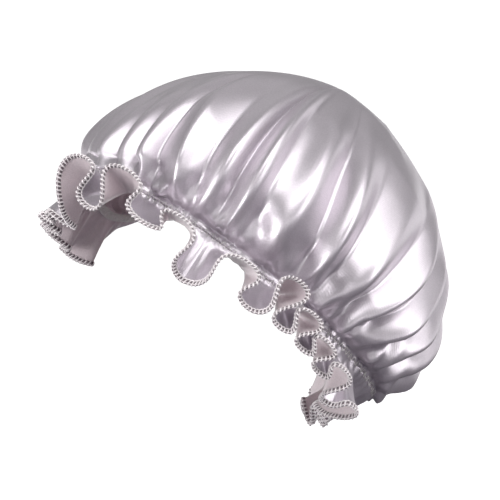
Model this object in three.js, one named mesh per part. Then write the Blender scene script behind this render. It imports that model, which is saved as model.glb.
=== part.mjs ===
// A satin hair bonnet as it is worn: a puffed crown and a fluted frill, both sewn to one lapped elastic.
// Millimetres, +Z up, the brow towards -Y. The origin is the middle of the elastic opening.
import * as THREE from "three";

// The opening, along the inside of the satin: tilted with the brow up, and pulled up higher on one side
const OPENING_LENGTH = 248;
const OPENING_WIDTH = 162;
const OPENING_TILT = 39;
const SIDE_LIFT = 44;
const LIFT_START_ANGLE = 182;
const LIFT_FULL_ANGLE = 236;
const LIFT_EASE_ANGLE = 270;
const LIFT_END_ANGLE = 308;

// The crown: how far it stands out past the elastic, how high its widest line lies, how deep its folds are
// and from which share of its reach a fold fades
const CROWN_HEIGHT = 150;
const CROWN_SETBACK = 4;
const BULGE_WIDTH_AT_BROW = 8;
const BULGE_WIDTH_AT_EARS = 24;
const BULGE_WIDTH_AT_NAPE = 18;
const PUFF_HEIGHT_AT_BROW = 12;
const PUFF_HEIGHT_AT_EARS = 38;
const PUFF_HEIGHT_AT_NAPE = 22;
const CROWN_TAPER = 1.15;
const FOLD_DEPTH = 8;
const FADE_SHARE = 0.35;

// The crown's creases, valleys and ridges in turn: the turn at the elastic, the turn at its end, the share of
// the way to the top that it reaches, and its share of the fold depth, which is below 0 on a ridge
const CREASES = [
  [0.011, -0.016, 0.48, 0.5], [0.022, -0.006, 0.48, -0.35], [0.032, 0.005, 0.5, 0.6],
  [0.043, 0.016, 0.5, -0.4], [0.055, 0.026, 0.56, 0.65], [0.064, 0.036, 0.5, -0.3],
  [0.074, 0.044, 0.7, 0.9], [0.1, 0.049, 0.74, -0.8], [0.112, 0.094, 0.62, 0.75],
  [0.124, 0.11, 0.7, -0.45], [0.138, 0.118, 0.84, 1], [0.15, 0.126, 0.84, -0.5],
  [0.168, 0.135, 0.8, 0.6], [0.194, 0.166, 0.72, -0.5], [0.226, 0.18, 0.84, 1],
  [0.237, 0.212, 0.66, -0.45], [0.249, 0.244, 0.62, 0.85], [0.262, 0.29, 0.6, -0.45],
  [0.275, 0.33, 0.64, 1], [0.29, 0.352, 0.62, -0.6], [0.303, 0.372, 0.62, 1],
  [0.32, 0.39, 0.6, -0.6], [0.336, 0.408, 0.6, 0.95], [0.352, 0.424, 0.58, -0.6],
  [0.368, 0.438, 0.58, 0.95], [0.386, 0.448, 0.56, -0.55], [0.404, 0.457, 0.52, 0.7],
  [0.424, 0.466, 0.5, -0.45], [0.444, 0.475, 0.48, 0.7], [0.464, 0.485, 0.5, -0.45],
  [0.483, 0.495, 0.52, 0.8], [0.501, 0.505, 0.46, -0.4], [0.517, 0.517, 0.5, 0.7],
  [0.534, 0.53, 0.5, -0.45], [0.554, 0.546, 0.66, 0.85], [0.58, 0.57, 0.5, -0.45],
  [0.608, 0.598, 0.56, 0.7], [0.637, 0.63, 0.64, -0.5], [0.666, 0.662, 0.78, 0.9],
  [0.69, 0.69, 0.56, -0.4], [0.714, 0.718, 0.54, 0.65], [0.738, 0.746, 0.66, -0.5],
  [0.763, 0.776, 0.8, 0.9], [0.787, 0.804, 0.56, -0.4], [0.81, 0.83, 0.54, 0.65],
  [0.833, 0.858, 0.62, -0.45], [0.856, 0.884, 0.72, 0.85], [0.88, 0.908, 0.52, -0.4],
  [0.903, 0.928, 0.54, 0.65], [0.93, 0.946, 0.48, -0.4], [0.957, 0.959, 0.5, 0.6],
  [0.985, 0.973, 0.46, -0.35],
];

// The frill's flutes hang and flare in turn: the turn, and the angle out from straight down in degrees
const FRILL_DEPTH = 34;
const FLUTE_LEAN = 2.5;
const FLUTES = [
  [0.01, -16], [0.035, 84], [0.052, 40], [0.065, 98], [0.095, 56], [0.117, 85], [0.142, 18],
  [0.173, 88], [0.197, 42], [0.217, 102], [0.225, 54], [0.241, 86], [0.254, 51], [0.266, 76],
  [0.282, 41], [0.297, 65], [0.322, 14], [0.342, 40], [0.367, -30], [0.389, -14], [0.415, -54],
  [0.439, -30], [0.464, -56], [0.489, -30], [0.517, -40], [0.544, 40], [0.571, 80], [0.599, 110],
  [0.627, 100], [0.656, 118], [0.683, 100], [0.71, 118], [0.736, 100], [0.763, 118], [0.79, 100],
  [0.814, 114], [0.832, 62], [0.846, 20], [0.86, -14], [0.879, 14], [0.899, -10], [0.92, 22],
  [0.94, -10], [0.957, 12], [0.973, -8], [0.989, 8],
];

// Cloth, elastic and thread
const SATIN = 0.8;
const ELASTIC_WIDTH = 6;
const ELASTIC_THICKNESS = 1;
const ELASTIC_LAP = 17;
const ELASTIC_STEP = 12;
const STITCH_WIDTH = 4;
const STITCH_PITCH = 4.3;
const TACK_PITCH = 3;
const THREAD = 0.6;
const OVERLOCK_WIDTH = 3.5;
const OVERLOCK_THREAD = 0.7;
const CLEARANCE = 0.4;
const FLAT_MARGIN = 1.6;

// How finely the forms are drawn
const STEPS_PER_FLUTE = 3;
const THREAD_SIDES = 3;
const CROWN_LATITUDES = [-45, -15, 8, 22, 38, 52, 66, 79];

const UP = new THREE.Vector3(0, 0, 1);
const NAPE = 0.5;
const WIDEST_SHARE = 0.2;
const FLAT_HEIGHT = Math.max(ELASTIC_WIDTH, STITCH_WIDTH) / 2 + FLAT_MARGIN;

const { degToRad, euclideanModulo, lerp, smoothstep } = THREE.MathUtils;

// A share of the side lift, 1 where the opening is pulled up most and 0 away from it
function liftShare(angle) {
  const rise = smoothstep(angle, LIFT_START_ANGLE, LIFT_FULL_ANGLE);
  return rise * (1 - smoothstep(angle, LIFT_EASE_ANGLE, LIFT_END_ANGLE));
}

// A value that changes smoothly round the opening, from the brow past the ears to the nape
function blendRound(angle, atBrow, atEars, atNape) {
  const radians = degToRad(angle);
  const atEnd = lerp(atBrow, atNape, 0.5 - 0.5 * Math.cos(radians));
  return lerp(atEars, atEnd, Math.cos(radians) ** 4);
}

class OpeningCurve extends THREE.Curve {
  getPoint(turn, target = new THREE.Vector3()) {
    const angle = turn * 2 * Math.PI;
    const x = (OPENING_WIDTH / 2) * Math.sin(angle);
    const y = (-OPENING_LENGTH / 2) * Math.cos(angle);
    return target.set(x, y, SIDE_LIFT * liftShare(turn * 360));
  }
}

const opening = new OpeningCurve();
opening.arcLengthDivisions = 720;
const OPENING_GIRTH = opening.getLength();

// The band is a closed run of corners, one at the foot of each crease. All the pieces at the elastic follow
// it, so that they stay parallel
function bandCorner([foot]) {
  const point = opening.getPointAt(foot);
  const along = opening.getTangentAt(foot).setZ(0).normalize();
  const angle = opening.getUtoTmapping(foot) * 360;
  return { turn: foot, point, along, out: along.clone().cross(UP), angle };
}

const bandCorners = CREASES.map(bandCorner);

function bandFrame(turn) {
  const first = bandCorners[0].turn;
  const place = first + euclideanModulo(turn - first, 1);
  const index = bandCorners.findLastIndex((corner) => corner.turn <= place);
  const before = bandCorners[index];
  const after = bandCorners[(index + 1) % bandCorners.length];
  const share = (place - before.turn) / euclideanModulo(after.turn - before.turn, 1);
  return {
    point: before.point.clone().lerp(after.point, share),
    along: before.along.clone().lerp(after.along, share),
    out: before.out.clone().lerp(after.out, share),
    angle: before.angle + euclideanModulo(after.angle - before.angle, 360) * share,
  };
}

function bandPoint(turn, outward, upward) {
  const frame = bandFrame(turn);
  return frame.point.addScaledVector(frame.out, outward).addScaledVector(UP, upward);
}

// A sheet of cloth: rows of points round the opening, and a point that closes the last row, if there is one
function makeSheet(rows, apex) {
  const columns = rows[0].length;
  const points = apex ? [...rows.flat(), apex] : rows.flat();
  const faces = [];
  for (let row = 0; row < rows.length; row += 1) {
    for (let column = 0; column < columns; column += 1) {
      const here = row * columns + column;
      const beside = row * columns + ((column + 1) % columns);
      if (row + 1 < rows.length) {
        faces.push([here, beside, here + columns], [beside, beside + columns, here + columns]);
      } else if (apex) {
        faces.push([here, beside, points.length - 1]);
      }
    }
  }
  return { points, faces, columns, normals: pointNormals(points, faces) };
}

function makeGeometry(points, faces) {
  const geometry = new THREE.BufferGeometry().setFromPoints(points);
  geometry.setIndex(faces.flat());
  geometry.computeVertexNormals();
  return geometry;
}

function pointNormals(points, faces) {
  const normal = makeGeometry(points, faces).getAttribute("normal");
  return points.map((_, index) => new THREE.Vector3().fromBufferAttribute(normal, index));
}

function openEdges(faces) {
  const edges = faces.flatMap(([a, b, c]) => [[a, b], [b, c], [c, a]]);
  const known = new Set(edges.map((edge) => edge.join()));
  return edges.filter(([a, b]) => !known.has([b, a].join()));
}

// Thickens a sheet towards its right side and closes its open edges
function thicken(sheet) {
  const count = sheet.points.length;
  const raised = sheet.points.map((point, i) => point.clone().addScaledVector(sheet.normals[i], SATIN));
  const right = sheet.faces.map(([a, b, c]) => [a + count, b + count, c + count]);
  const wrong = sheet.faces.map(([a, b, c]) => [c, b, a]);
  const rims = openEdges(sheet.faces).flatMap(([a, b]) => [[a, b, b + count], [a, b + count, a + count]]);
  return makeGeometry([...sheet.points, ...raised], [...right, ...wrong, ...rims]);
}

// Joins outlines of equal count into one body. A closed run joins its last outline to its first, an open
// run gets end caps. The segments in turned are split along their other diagonal.
function joinOutlines(outlines, closed, turned = []) {
  const sides = outlines[0].length;
  const faces = [];
  const joints = closed ? outlines.length : outlines.length - 1;
  for (let row = 0; row < joints; row += 1) {
    const from = row * sides;
    const to = ((row + 1) % outlines.length) * sides;
    for (let side = 0; side < sides; side += 1) {
      const next = (side + 1) % sides;
      if (turned.includes(side)) {
        faces.push([from + side, to + side, to + next], [from + side, to + next, from + next]);
      } else {
        faces.push([from + side, to + side, from + next], [to + side, to + next, from + next]);
      }
    }
  }
  if (!closed) {
    const last = (outlines.length - 1) * sides;
    for (let side = 1; side + 1 < sides; side += 1) {
      faces.push([0, side, side + 1], [last, last + side + 1, last + side]);
    }
  }
  return makeGeometry(outlines.flat(), faces);
}

// The crown

// How far up the cloth a latitude lies, from 0 at the elastic past the widest line to 1 at the top
function heightShare(latitude) {
  if (latitude < 0) return WIDEST_SHARE * (1 + Math.sin(degToRad(latitude)));
  return lerp(WIDEST_SHARE, 1, latitude / 90);
}

// A point on a crease's line up the crown
function crownPoint([foot, end, reach, depth], latitude) {
  const height = heightShare(latitude);
  const along = Math.min(height / reach, 1);
  const frame = bandFrame(lerp(foot, end, along));
  const rise = Math.sin(degToRad(latitude));
  const run = Math.cos(degToRad(latitude));
  const low = frame.point.clone().addScaledVector(UP, FLAT_HEIGHT);
  const bulge = blendRound(frame.angle, BULGE_WIDTH_AT_BROW, BULGE_WIDTH_AT_EARS, BULGE_WIDTH_AT_NAPE);
  const widest = frame.point.clone().addScaledVector(frame.out, bulge);
  widest.z += blendRound(frame.angle, PUFF_HEIGHT_AT_BROW, PUFF_HEIGHT_AT_EARS, PUFF_HEIGHT_AT_NAPE);
  const point = widest.clone();
  if (latitude < 0) {
    point.lerpVectors(low, widest, run ** 2);
    point.z = lerp(low.z, widest.z, 1 + rise);
  } else {
    point.x = widest.x * run ** CROWN_TAPER;
    point.y = lerp(CROWN_SETBACK, widest.y, run ** CROWN_TAPER);
    point.z = lerp(widest.z, CROWN_HEIGHT, rise);
  }
  const deepening = smoothstep(height, 0, WIDEST_SHARE / 2);
  const fading = smoothstep(along, FADE_SHARE, 1);
  const inward = FOLD_DEPTH * depth * deepening * (1 - fading);
  return point.addScaledVector(frame.out, -inward * run).addScaledVector(UP, -inward * rise);
}

function crownPanel() {
  const heights = [CLEARANCE / 2, FLAT_HEIGHT];
  const flat = heights.map((height) => CREASES.map(([foot]) => bandPoint(foot, 0, height)));
  const puffed = CROWN_LATITUDES.map((latitude) => CREASES.map((crease) => crownPoint(crease, latitude)));
  const apex = new THREE.Vector3(0, CROWN_SETBACK, CROWN_HEIGHT);
  return thicken(makeSheet([...flat, ...puffed], apex));
}

// The frill and its overlocked edge

// The frill's turn, tilt and lean at a column, between one place of the flutes and the next
function fluteAt(column) {
  const index = Math.floor(column / STEPS_PER_FLUTE);
  const share = column / STEPS_PER_FLUTE - index;
  const [turn, angle] = FLUTES[index];
  const [nextTurn, nextAngle] = FLUTES[(index + 1) % FLUTES.length];
  const swing = 0.5 - 0.5 * Math.cos(Math.PI * share);
  return {
    turn: turn + euclideanModulo(nextTurn - turn, 1) * share,
    tilt: degToRad(lerp(angle, nextAngle, swing)),
    lean: Math.sin(2 * Math.PI * share),
  };
}

function flutePoint({ turn, tilt, lean }, depth) {
  const aside = FLUTE_LEAN * lean * Math.max(Math.sin(tilt), 0) * (depth / FRILL_DEPTH);
  return bandPoint(turn, Math.sin(tilt) * depth, -FLAT_HEIGHT - Math.cos(tilt) * depth)
    .addScaledVector(bandFrame(turn).along, aside);
}

function frillSheet() {
  const columns = Array.from({ length: FLUTES.length * STEPS_PER_FLUTE }, (_, column) => fluteAt(column));
  const fluted = [FRILL_DEPTH, FRILL_DEPTH - OVERLOCK_WIDTH];
  const flat = [-FLAT_HEIGHT, -CLEARANCE / 2];
  return makeSheet([
    ...fluted.map((depth) => columns.map((column) => flutePoint(column, depth))),
    ...flat.map((height) => columns.map(({ turn }) => bandPoint(turn, 0, height))),
  ]);
}

// A place beside the frill's edge: inset from 0 at the edge to 1 along the overlock's inner side, past the
// edge where it is below 0, and raised above the cloth's wrong side
function besideEdge(sheet, column, inset, raised) {
  const inner = column + sheet.columns;
  const point = sheet.points[column].clone().lerp(sheet.points[inner], inset);
  const normal = sheet.normals[column].clone().lerp(sheet.normals[inner], Math.max(inset, 0));
  return point.addScaledVector(normal.normalize(), raised);
}

function overlockWrap(sheet) {
  const slot = CLEARANCE / OVERLOCK_WIDTH;
  const end = slot + OVERLOCK_THREAD / OVERLOCK_WIDTH;
  const under = -CLEARANCE;
  const over = SATIN + CLEARANCE;
  const profile = [
    [1, under - OVERLOCK_THREAD],
    [-end, under - OVERLOCK_THREAD],
    [-end, over + OVERLOCK_THREAD],
    [1, over + OVERLOCK_THREAD],
    [1, over],
    [-slot, over],
    [-slot, under],
    [1, under],
  ];
  const outlines = Array.from({ length: sheet.columns }, (_, column) =>
    profile.map(([inset, raised]) => besideEdge(sheet, column, inset, raised)));
  return joinOutlines(outlines, true, [0, 4]);
}

function overlockNeedle(sheet) {
  const radius = THREAD / 2;
  const height = SATIN + CLEARANCE + OVERLOCK_THREAD + CLEARANCE + radius;
  const inset = 1 - THREAD / OVERLOCK_WIDTH;
  const outlines = Array.from({ length: sheet.columns }, (_, column) =>
    threadSection().map(([side, raised]) =>
      besideEdge(sheet, column, inset + (side * radius) / OVERLOCK_WIDTH, height + raised * radius)));
  return joinOutlines(outlines, true);
}

// The elastic and its stitches

// The corners of a thread's section about its middle, one of them pointing away from the cloth
function threadSection() {
  return Array.from({ length: THREAD_SIDES }, (_, side) => {
    const angle = (side / THREAD_SIDES) * 2 * Math.PI;
    return [Math.sin(angle), Math.cos(angle)];
  });
}

// The elastic is a strip whose ends lap at the nape, the last of it stepped in behind the first
function elasticBand() {
  const lap = ELASTIC_LAP / OPENING_GIRTH;
  const start = NAPE - lap / 2;
  const end = NAPE + 1 + lap / 2;
  const lapped = end - lap - CLEARANCE / OPENING_GIRTH;
  const stepped = lapped - ELASTIC_STEP / OPENING_GIRTH;
  const corners = CREASES.flatMap(([foot]) => [foot, foot + 1]);
  const inside = corners.filter((turn) => turn > start && turn < end);
  const turns = [start, ...inside, stepped, lapped, end].sort((a, b) => a - b);
  const outlines = turns.map((turn) => {
    const layer = smoothstep(turn, stepped, lapped);
    const outer = -CLEARANCE - layer * (ELASTIC_THICKNESS + CLEARANCE);
    const inner = outer - ELASTIC_THICKNESS;
    const half = ELASTIC_WIDTH / 2;
    return [[inner, -half], [outer, -half], [outer, half], [inner, half]]
      .map(([outward, upward]) => bandPoint(turn, outward, upward));
  });
  return joinOutlines(outlines, false);
}

// A thread that runs to and fro across the elastic: outward is its middle, and side the way that it faces
function zigzag({ from, to, pitch, width, outward, side, closed }) {
  const zigs = Math.round(((to - from) * OPENING_GIRTH) / pitch);
  const count = closed ? 2 * zigs : 2 * zigs + 1;
  const slant = Math.hypot(width, pitch / 2) / (pitch / 2);
  const outlines = Array.from({ length: count }, (_, place) => {
    const turn = from + ((to - from) * place) / (2 * zigs);
    const height = place % 2 ? -width / 2 : width / 2;
    return threadSection().map(([across, away]) =>
      bandPoint(turn, outward + side * away * (THREAD / 2), height + side * across * (THREAD / 2) * slant));
  });
  return joinOutlines(outlines, closed);
}

function gatherStitch() {
  const outward = SATIN + CLEARANCE + THREAD / 2;
  return zigzag({ from: 0, to: 1, pitch: STITCH_PITCH, width: STITCH_WIDTH, outward, side: 1, closed: true });
}

function bobbinStitch() {
  const lap = (ELASTIC_LAP / 2 + CLEARANCE + THREAD) / OPENING_GIRTH;
  const outward = -(CLEARANCE + ELASTIC_THICKNESS + CLEARANCE + THREAD / 2);
  const from = NAPE + lap;
  const to = NAPE + 1 - lap - ELASTIC_STEP / OPENING_GIRTH;
  return zigzag({ from, to, pitch: STITCH_PITCH, width: STITCH_WIDTH, outward, side: -1, closed: false });
}

function elasticTack() {
  const half = (ELASTIC_LAP / 2 - TACK_PITCH) / OPENING_GIRTH;
  const outward = -(2 * (CLEARANCE + ELASTIC_THICKNESS) + CLEARANCE + THREAD / 2);
  const from = NAPE - half;
  const to = NAPE + half;
  return zigzag({ from, to, pitch: TACK_PITCH, width: STITCH_WIDTH, outward, side: -1, closed: false });
}

const satin = { color: 0xb9b4b9, roughness: 0.28, metalness: 0 };
const elasticWhite = { color: 0xf1efec, roughness: 0.8, metalness: 0 };
const whiteThread = { color: 0xf4f2ef, roughness: 0.6, metalness: 0 };
const edgeThread = { color: 0xd9d2d0, roughness: 0.55, metalness: 0 };

function piece(name, geometry, finish) {
  const mesh = new THREE.Mesh(geometry, new THREE.MeshStandardMaterial(finish));
  mesh.name = name;
  return mesh;
}

const frill = frillSheet();
const worn = new THREE.Group();
worn.add(
  piece("crown_panel", crownPanel(), satin),
  piece("ruffle_frill", thicken(frill), satin),
  piece("overlock_wrap", overlockWrap(frill), edgeThread),
  piece("overlock_needle", overlockNeedle(frill), whiteThread),
  piece("elastic_band", elasticBand(), elasticWhite),
  piece("elastic_tack", elasticTack(), whiteThread),
  piece("gather_stitch", gatherStitch(), whiteThread),
  piece("bobbin_stitch", bobbinStitch(), whiteThread),
);
worn.rotation.x = -degToRad(OPENING_TILT);

const bonnet = new THREE.Group();
bonnet.add(worn);

export default bonnet;
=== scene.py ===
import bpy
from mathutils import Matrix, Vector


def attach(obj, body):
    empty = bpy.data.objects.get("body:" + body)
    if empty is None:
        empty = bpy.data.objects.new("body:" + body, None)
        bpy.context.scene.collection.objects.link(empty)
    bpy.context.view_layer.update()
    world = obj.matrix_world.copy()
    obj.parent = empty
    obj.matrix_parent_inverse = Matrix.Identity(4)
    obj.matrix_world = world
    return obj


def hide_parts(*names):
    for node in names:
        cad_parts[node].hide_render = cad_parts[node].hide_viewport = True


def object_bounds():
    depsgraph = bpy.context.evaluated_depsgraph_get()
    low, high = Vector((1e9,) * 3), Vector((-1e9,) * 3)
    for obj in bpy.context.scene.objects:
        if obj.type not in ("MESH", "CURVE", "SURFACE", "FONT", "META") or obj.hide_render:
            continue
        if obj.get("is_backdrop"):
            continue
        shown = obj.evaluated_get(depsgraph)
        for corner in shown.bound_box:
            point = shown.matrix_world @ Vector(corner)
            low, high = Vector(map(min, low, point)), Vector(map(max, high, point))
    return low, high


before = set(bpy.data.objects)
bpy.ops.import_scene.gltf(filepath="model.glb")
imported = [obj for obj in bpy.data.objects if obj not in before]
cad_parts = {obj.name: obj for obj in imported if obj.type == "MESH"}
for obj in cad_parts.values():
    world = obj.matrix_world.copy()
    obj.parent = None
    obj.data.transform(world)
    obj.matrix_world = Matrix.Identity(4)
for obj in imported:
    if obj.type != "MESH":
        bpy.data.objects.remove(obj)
CAD_LOW, CAD_HIGH = (list(corner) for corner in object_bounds())

import math

import bmesh
import bpy
import numpy as np
from bpy.props import FloatProperty, FloatVectorProperty, IntProperty, PointerProperty
from mathutils import Matrix, Vector

bl_info = {
    "name": "Satin Hair Bonnet",
    "version": (1, 0, 0),
    "blender": (4, 5, 0),
    "location": "View3D > Sidebar > Bonnet",
    "description": "Builds a satin hair bonnet as it is worn: crown, frill, overlocked edge and elastic",
    "category": "Add Mesh",
}

MM = 0.001
TINY = 1e-12
UP = np.array([0.0, 0.0, 1.0])
NAPE = 0.5
SEED = 11

# How finely things are drawn. The crown's rows lie closer near the elastic, less so with more evenness, and the
# frill's lie closer near the gathers.
OPENING_STEPS = 2880
STEPS_PER_CREASE = 8
CROWN_ROWS = 100
ROW_EVENNESS = 0.45
FLAT_ROWS = 3
STEPS_PER_FLUTE = 20
FRILL_ROWS = 24
FRILL_ROW_POWER = 1.15
COIL_STEPS = 10
ZIGZAG_STEPS = 8
THREAD_SIDES = 5
ELASTIC_STEPS = 520
ELASTIC_FACE_STEPS = 18
STUDIO_SIDES = 96

# The crown's heights are shares of the way up its cloth, from 0 at the elastic past the widest line to 1. Fine
# detail fades above the smooth top. The end power keeps the brow's and the nape's own form near them.
WIDEST_SHARE = 0.2
END_POWER = 4
TOP_ROUNDING = 0.25
TOP_SMOOTH = 0.9
BASE_SMOOTHING = 40

# Main creases are round up to one share of the fold depth and sharpest from another on. All creases fade from
# the same share of their length.
ROUND_CREASE = 0.4
SHARP_CREASE = 0.8
SHARPEST_SLOPE = 1.1
FADE_SHARE = 0.35

# Short creases above the gathers, drawn at random between two values. Their flanks widen from foot to end, and
# they are deeper near the brow.
SHORT_CREASES = 72
SHORT_JITTER = 0.4
SHORT_REACH = (0.12, 0.30)
SHORT_DEPTH = (0.6 * MM, 2.4 * MM)
FLANK_BEFORE = (1.6 * MM, 3.6 * MM)
FLANK_AFTER = (2.0 * MM, 4.8 * MM)
FLANK_WIDENING = (0.6, 1.4)
SHORT_LEAN = 0.2
SHORT_START = 0.1
CREASE_ROUNDING = 1.6 * MM
BROW_NEAR = 0.05
BROW_FAR = 0.13
BROW_DEEPENING = 0.9
FOLD_MARK_FLANK = 14 * MM

# Small gathers on the elastic: how far they wander and how their size varies, in slow waves
PUCKER_WANDER = 0.5
PUCKER_WANDER_WAVES = 30
PUCKER_SIZE = 0.75
PUCKER_SIZE_SPREAD = 0.3
PUCKER_SIZE_WAVES = 40
PUCKER_SIZE_LIMITS = (0.15, 1.4)
GATHER_REACH = 12 * MM

# Ripples of slack cloth: the waves of each round the crown and up it, and where they come and go
RIPPLES = 24
RIPPLE_ROUND = (10, 28)
RIPPLE_UP = (-1.0, 3.0)
RIPPLE_LEAN = 0.4
RIPPLE_START = (0, 0.15)
RIPPLE_FADE = (0.75, 0.25)

# Cloth that hangs over the elastic: where it starts and hangs most, and how that varies in slow waves
DROOP_REACH = 24 * MM
DROOP_MOST_AT = 0.3 * DROOP_REACH
DROOP_WAVES = 60
DROOP_SIZE = 0.5
DROOP_SIZE_SPREAD = 0.6
DROOP_SIZE_LIMITS = (0, 1.2)
DROOP_OUT = 0.8

# The frill, by the distance from the gathers: where its flutes bend, how the gathers run out, and where the
# pleats that follow them come and go. Curls are in degrees.
FRILL_GAP = 0.15 * MM
FLUTE_BEND = (1 * MM, 9 * MM)
FLUTE_CURL = (-6, 12)
FLUTE_LEAN_POWER = 1.4
GATHER_FADE = 7 * MM
PLEAT_HEIGHT = 1.3 * MM
PLEAT_SHIFT = 0.37
PLEAT_START = (2 * MM, 11 * MM)
PLEAT_FADE = (14 * MM, 36 * MM)
PLEAT_LEFT = 0.3

# The overlock: the frill's rows in it, the loops' steps for each of the band's, gaps, and shares of the thread's
# radius or of the loops' size. The band is a dark sheet under the loops, painted shade for their gaps
OVERLOCKED_ROWS = 2
BAND_STEP = 2
LOOP_GAP = 0.1 * MM
RIM_INSET = 0.3 * MM
RIM_RADIUS = 1.15
BAND_WIDTH = 0.86
BAND_HEIGHT = 0.55
NEEDLE_INSET = 1.2
NEEDLE_LOW = 0.8
NEEDLE_RISE = 0.9
NEEDLE_RADIUS = 0.9

# The elastic's section, and how far the zigzag lies off the cloth as a share of its thread
RIBS = 6
RIB_HEIGHT = 0.1 * MM
EDGE_SQUARENESS = 8
STITCH_LIFT = 0.6

# The satin's flecks as a share beside its blotches, and how far its roughness varies
FLECK_SHARE = 0.65
GLOSS_SPREAD = 0.05

# The studio in metres: each soft box's way towards the camera, right and up, its width and height, and its power
# in watts; the card's way towards the camera and right; and where the floor's own light grows from near to far
LAMPS = (
    ("Key softbox", (1.1, 0.4, 1.1), (1.5, 0.8), 15),
    ("Top softbox", (-0.8, 0.0, 1.6), (1.8, 1.2), 1.6),
    ("Right softbox", (0.7, 1.3, 0.3), (0.7, 1.4), 10),
    ("Left softbox", (0.8, -1.4, 0.7), (0.6, 1.2), 3),
    ("Fill softbox", (0.9, -1.0, -0.1), (0.8, 0.4), 9),
)
LAMP_AIM = (0, 0, 0.05)
WORLD_STRENGTH = 0.22
CARD_PLACE = (0.4, 0.6)
CARD_SIZE = (2.0, 1.7)
CARD_DROP = 0.12
GLOW_FROM, GLOW_TO = 0.15, 0.6
GLOW_NEAR, GLOW_FAR = 0.5, 0.95

# How folds lean as they rise: the turn, and how far round a fold would go for a full height
FAN = (
    (0.00, -0.06), (0.03, -0.09), (0.08, -0.08), (0.14, -0.02), (0.22, -0.05), (0.26, 0.03), (0.30, 0.12),
    (0.36, 0.18), (0.42, 0.14), (0.50, 0.00), (0.58, -0.14), (0.70, -0.06), (0.80, 0.04), (0.92, 0.08),
    (1.00, -0.06),
)

# The crown's creases, valleys and ridges in turn: the turn at the elastic, the turn at its end, the share of
# the way to the top that it reaches, and its share of the fold depth, which is below 0 on a ridge. Turns are
# shares of the way round from the brow.
CREASES = (
    (0.011, -0.016, 0.48, 0.5), (0.022, -0.006, 0.48, -0.35), (0.032, 0.005, 0.5, 0.6),
    (0.043, 0.016, 0.5, -0.4), (0.055, 0.026, 0.56, 0.65), (0.064, 0.036, 0.5, -0.3),
    (0.074, 0.044, 0.7, 0.9), (0.1, 0.049, 0.74, -0.8), (0.112, 0.094, 0.62, 0.75),
    (0.124, 0.11, 0.7, -0.45), (0.138, 0.118, 0.84, 1), (0.15, 0.126, 0.84, -0.5),
    (0.168, 0.135, 0.8, 0.6), (0.194, 0.166, 0.72, -0.5), (0.226, 0.18, 0.84, 1),
    (0.237, 0.212, 0.66, -0.45), (0.249, 0.244, 0.62, 0.85), (0.262, 0.29, 0.6, -0.45),
    (0.275, 0.33, 0.64, 1), (0.29, 0.352, 0.62, -0.6), (0.303, 0.372, 0.62, 1),
    (0.32, 0.39, 0.6, -0.6), (0.336, 0.408, 0.6, 0.95), (0.352, 0.424, 0.58, -0.6),
    (0.368, 0.438, 0.58, 0.95), (0.386, 0.448, 0.56, -0.55), (0.404, 0.457, 0.52, 0.7),
    (0.424, 0.466, 0.5, -0.45), (0.444, 0.475, 0.48, 0.7), (0.464, 0.485, 0.5, -0.45),
    (0.483, 0.495, 0.52, 0.8), (0.501, 0.505, 0.46, -0.4), (0.517, 0.517, 0.5, 0.7),
    (0.534, 0.53, 0.5, -0.45), (0.554, 0.546, 0.66, 0.85), (0.58, 0.57, 0.5, -0.45),
    (0.608, 0.598, 0.56, 0.7), (0.637, 0.63, 0.64, -0.5), (0.666, 0.662, 0.78, 0.9),
    (0.69, 0.69, 0.56, -0.4), (0.714, 0.718, 0.54, 0.65), (0.738, 0.746, 0.66, -0.5),
    (0.763, 0.776, 0.8, 0.9), (0.787, 0.804, 0.56, -0.4), (0.81, 0.83, 0.54, 0.65),
    (0.833, 0.858, 0.62, -0.45), (0.856, 0.884, 0.72, 0.85), (0.88, 0.908, 0.52, -0.4),
    (0.903, 0.928, 0.54, 0.65), (0.93, 0.946, 0.48, -0.4), (0.957, 0.959, 0.5, 0.6),
    (0.985, 0.973, 0.46, -0.35),
)

# Creases where the bonnet lay folded flat: both ends as turn and height, and the depth in millimetres
FOLD_MARKS = (
    (0.061, 0.39, 0.111, 0.26, 1.5),
    (0.151, 0.54, 0.188, 0.47, 1.7),
    (0.206, 0.73, 0.268, 0.64, 1.9),
    (0.243, 0.58, 0.304, 0.49, 1.7),
    (0.289, 0.15, 0.314, 0.12, 1.4),
    (0.215, 0.55, 0.262, 0.78, 1.5),
    (0.300, 0.44, 0.345, 0.62, 1.5),
    (0.120, 0.60, 0.140, 0.78, 1.4),
    (0.560, 0.50, 0.640, 0.62, 1.5),
    (0.700, 0.66, 0.760, 0.52, 1.5),
    (0.860, 0.48, 0.930, 0.60, 1.4),
)

# The frill's flutes hang and flare in turn: the turn, and the angle out from straight down in degrees
FLUTES = (
    (0.01, -16), (0.035, 84), (0.052, 40), (0.065, 98), (0.095, 56), (0.117, 85), (0.142, 18),
    (0.173, 88), (0.197, 42), (0.217, 102), (0.225, 54), (0.241, 86), (0.254, 51), (0.266, 76),
    (0.282, 41), (0.297, 65), (0.322, 14), (0.342, 40), (0.367, -30), (0.389, -14), (0.415, -54),
    (0.439, -30), (0.464, -56), (0.489, -30), (0.517, -40), (0.544, 40), (0.571, 80), (0.599, 110),
    (0.627, 100), (0.656, 118), (0.683, 100), (0.71, 118), (0.736, 100), (0.763, 118), (0.79, 100),
    (0.814, 114), (0.832, 62), (0.846, 20), (0.86, -14), (0.879, 14), (0.899, -10), (0.92, 22),
    (0.94, -10), (0.957, 12), (0.973, -8), (0.989, 8),
)


def length(name, millimetres, description):
    """A length that a user may change, shown in the scene's unit."""
    return FloatProperty(
        name=name, description=description, default=millimetres * MM, unit="LENGTH", precision=4
    )


def three_lengths(name, millimetres, description):
    """Lengths at the brow, the ears and the nape that a user may change."""
    return FloatVectorProperty(
        name=name, description=f"{description}, at the brow, the ears and the nape",
        default=[value * MM for value in millimetres], size=3, unit="LENGTH", precision=4,
    )


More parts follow.
